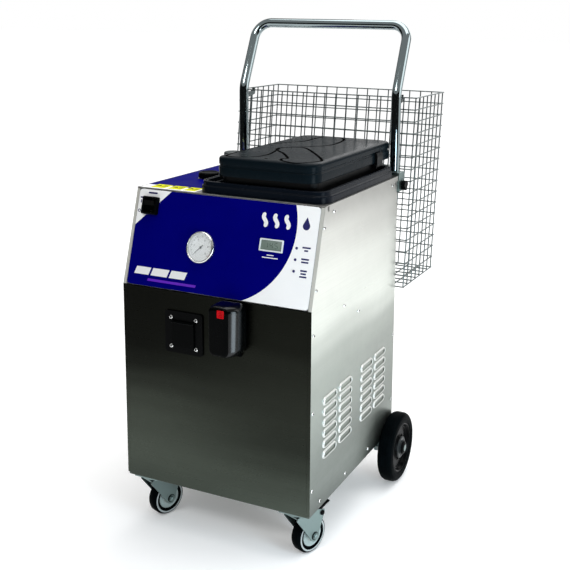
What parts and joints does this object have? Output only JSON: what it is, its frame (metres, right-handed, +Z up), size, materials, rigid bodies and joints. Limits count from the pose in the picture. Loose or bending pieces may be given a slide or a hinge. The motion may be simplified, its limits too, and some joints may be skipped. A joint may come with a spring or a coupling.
{
  "type": "steam cleaner",
  "caption": "Wheeled commercial steam cleaner: stainless cabinet with sloping control panel, lift-out waste tank, push handle and rear wire basket.",
  "frame": {"origin": "on the floor, under the middle of the whole machine's outline", "axes": "+Z up; +Y towards the rear basket, away from the control panel; +X to the right as seen from behind the front, that is the right-hand side panel in a view from the front"},
  "size_m": [0.508, 0.7444, 1.043],
  "materials": {
    "black_gloss": "gloss",
    "board": "satin",
    "brass": "satin",
    "chrome": "polished",
    "copper": "satin",
    "dark_steel": "brushed",
    "glass": "clear",
    "grey_cap": "satin",
    "motor": "satin",
    "moulding": "fine texture",
    "natural": "translucent",
    "orange": "satin",
    "print": "satin film",
    "red": "gloss",
    "rubber": "matte",
    "stainless": "brushed",
    "tyre": "matte",
    "white": "satin",
    "wire": "bright wire",
    "zinc": "zinc plated"
  },
  "bodies": {
    "cabinet": {"base_tray": "stainless", "front_panel": "dark_steel", "control_panel": "stainless", "printed_overlay": "print", "left_side_panel": "stainless", "right_side_panel": "stainless", "rear_panel": "stainless", "top_panel": "stainless", "panel_screws": "zinc", "handle_tube": "chrome", "handle_clamps": "zinc", "basket_hooks": "zinc", "tub_tray": "moulding", "switch_housing": "black_gloss", "gauge_case": "chrome", "gauge_glass": "glass", "display": "grey_cap", "indicator_lights": "white", "socket_body": "black_gloss", "inlet_housing": "black_gloss", "power_gland": "moulding", "drain_valve": "brass", "rear_axle": "zinc", "castor_plates": "zinc", "boiler": "stainless", "heater_element": "copper", "supply_tanks": "natural", "vacuum_motor": "motor", "water_pump": "motor", "control_board": "board"},
    "basket": {"basket_front": "wire", "basket_back": "wire", "basket_sides": "wire", "basket_base": "wire"},
    "waste_tank": {"waste_tank": "moulding"},
    "lid": {"tank_lid": "moulding", "lid_seal": "rubber"},
    "latch_left": {"lid_latch_left": "moulding"},
    "latch_right": {"lid_latch_right": "moulding"},
    "float": {"tank_float": "orange"},
    "water_cap": {"water_cap": "moulding"},
    "detergent_cap": {"detergent_cap": "grey_cap"},
    "switch_rocker": {"switch_rocker": "black_gloss"},
    "gauge_needle": {"gauge_needle": "black_gloss"},
    "socket_flap": {"socket_flap": "black_gloss"},
    "inlet_cover": {"inlet_cover": "black_gloss"},
    "release_button": {"release_button": "red"},
    "drain_lever": {"drain_lever": "red"},
    "knob_left": {"clamp_knob_left": "moulding"},
    "knob_right": {"clamp_knob_right": "moulding"},
    "rear_wheel_left": {"rear_tyre_left": "tyre", "rear_hub_left": "moulding"},
    "rear_wheel_right": {"rear_tyre_right": "tyre", "rear_hub_right": "moulding"},
    "castor_left": {"castor_fork_left": "zinc"},
    "castor_right": {"castor_fork_right": "zinc"},
    "castor_wheel_left": {"castor_wheel_left": "tyre"},
    "castor_wheel_right": {"castor_wheel_right": "tyre"},
    "brake_left": {"castor_brake_left": "black_gloss"},
    "brake_right": {"castor_brake_right": "black_gloss"}
  },
  "joints": [
    {"name": "basket_lift", "type": "slide", "parent": "cabinet", "child": "basket", "axis": [0, 0, 1], "range_m": [0, 0.012]},
    {"name": "tank_lift", "type": "slide", "parent": "cabinet", "child": "waste_tank", "axis": [0, 0, 1], "range_m": [0, 0.18]},
    {"name": "lid_lift", "type": "slide", "parent": "waste_tank", "child": "lid", "axis": [0, 0, 1], "range_m": [0, 0.12]},
    {"name": "latch_swing_left", "type": "hinge", "parent": "waste_tank", "child": "latch_left", "pos_m": [-0.041, -0.20619, 0.733], "axis": [0, -1, 0], "range_deg": [0, 60]},
    {"name": "latch_swing_right", "type": "hinge", "parent": "waste_tank", "child": "latch_right", "pos_m": [0.187, 0.05282, 0.733], "axis": [0, 1, 0], "range_deg": [0, 60]},
    {"name": "float_rise", "type": "slide", "parent": "waste_tank", "child": "float", "axis": [0, 0, 1], "range_m": [0, 0.04]},
    {"name": "water_cap_turn", "type": "hinge", "parent": "cabinet", "child": "water_cap", "pos_m": [-0.138, -0.11219, 0.712], "axis": [0, 0, 1], "continuous": true},
    {"name": "detergent_cap_turn", "type": "hinge", "parent": "cabinet", "child": "detergent_cap", "pos_m": [-0.131, -0.02419, 0.743], "axis": [0, 0, 1], "continuous": true},
    {"name": "power_rocker", "type": "hinge", "parent": "cabinet", "child": "switch_rocker", "pos_m": [-0.17, -0.27898, 0.67052], "axis": [1, 0, 0], "range_deg": [-22, 0]},
    {"name": "gauge_turn", "type": "hinge", "parent": "cabinet", "child": "gauge_needle", "pos_m": [-0.041, -0.30324, 0.60469], "axis": [0, -0.9598, 0.2808], "range_deg": [-270, 0], "stiffness_Nm_per_rad": 0.0002},
    {"name": "socket_flap_open", "type": "hinge", "parent": "cabinet", "child": "socket_flap", "pos_m": [-0.066, -0.33069, 0.4555], "axis": [-1, 0, 0], "range_deg": [0, 100], "stiffness_Nm_per_rad": 0.01, "springref_deg": -28.65},
    {"name": "inlet_cover_open", "type": "hinge", "parent": "cabinet", "child": "inlet_cover", "pos_m": [0.0445, -0.33078, 0.4106], "axis": [1, 0, 0], "range_deg": [0, 100], "stiffness_Nm_per_rad": 0.02, "springref_deg": -45.84},
    {"name": "release_press", "type": "slide", "parent": "inlet_cover", "child": "release_button", "axis": [0, 1, 0], "range_m": [0, 0.003], "stiffness_N_per_m": 300, "springref_m": -0.001},
    {"name": "drain_turn", "type": "hinge", "parent": "cabinet", "child": "drain_lever", "pos_m": [-0.12, 0.12882, 0.1688], "axis": [0, 0, 1], "range_deg": [0, 90]},
    {"name": "knob_turn_left", "type": "hinge", "parent": "cabinet", "child": "knob_left", "pos_m": [-0.2195, 0.13381, 0.68], "axis": [1, 0, 0], "continuous": true},
    {"name": "knob_turn_right", "type": "hinge", "parent": "cabinet", "child": "knob_right", "pos_m": [0.2195, 0.13381, 0.68], "axis": [1, 0, 0], "continuous": true},
    {"name": "rear_wheel_spin_left", "type": "hinge", "parent": "cabinet", "child": "rear_wheel_left", "pos_m": [-0.2298, 0.08882, 0.078], "axis": [1, 0, 0], "continuous": true},
    {"name": "rear_wheel_spin_right", "type": "hinge", "parent": "cabinet", "child": "rear_wheel_right", "pos_m": [0.2298, 0.08882, 0.078], "axis": [1, 0, 0], "continuous": true},
    {"name": "castor_swivel_left", "type": "hinge", "parent": "cabinet", "child": "castor_left", "pos_m": [-0.169, -0.29218, 0.091], "axis": [0, 0, 1], "continuous": true},
    {"name": "castor_wheel_spin_left", "type": "hinge", "parent": "castor_left", "child": "castor_wheel_left", "pos_m": [-0.15923, -0.26382, 0.0375], "axis": [0.9455, -0.3256, 0], "continuous": true},
    {"name": "castor_brake_left_press", "type": "hinge", "parent": "castor_left", "child": "brake_left", "pos_m": [-0.15272, -0.24491, 0.08], "axis": [-0.9455, 0.3256, 0], "range_deg": [0, 12]},
    {"name": "castor_swivel_right", "type": "hinge", "parent": "cabinet", "child": "castor_right", "pos_m": [0.169, -0.29218, 0.091], "axis": [0, 0, 1], "continuous": true},
    {"name": "castor_wheel_spin_right", "type": "hinge", "parent": "castor_right", "child": "castor_wheel_right", "pos_m": [0.17877, -0.26382, 0.0375], "axis": [0.9455, -0.3256, 0], "continuous": true},
    {"name": "castor_brake_right_press", "type": "hinge", "parent": "castor_right", "child": "brake_right", "pos_m": [0.18528, -0.24491, 0.08], "axis": [-0.9455, 0.3256, 0], "range_deg": [0, 12]}
  ]
}
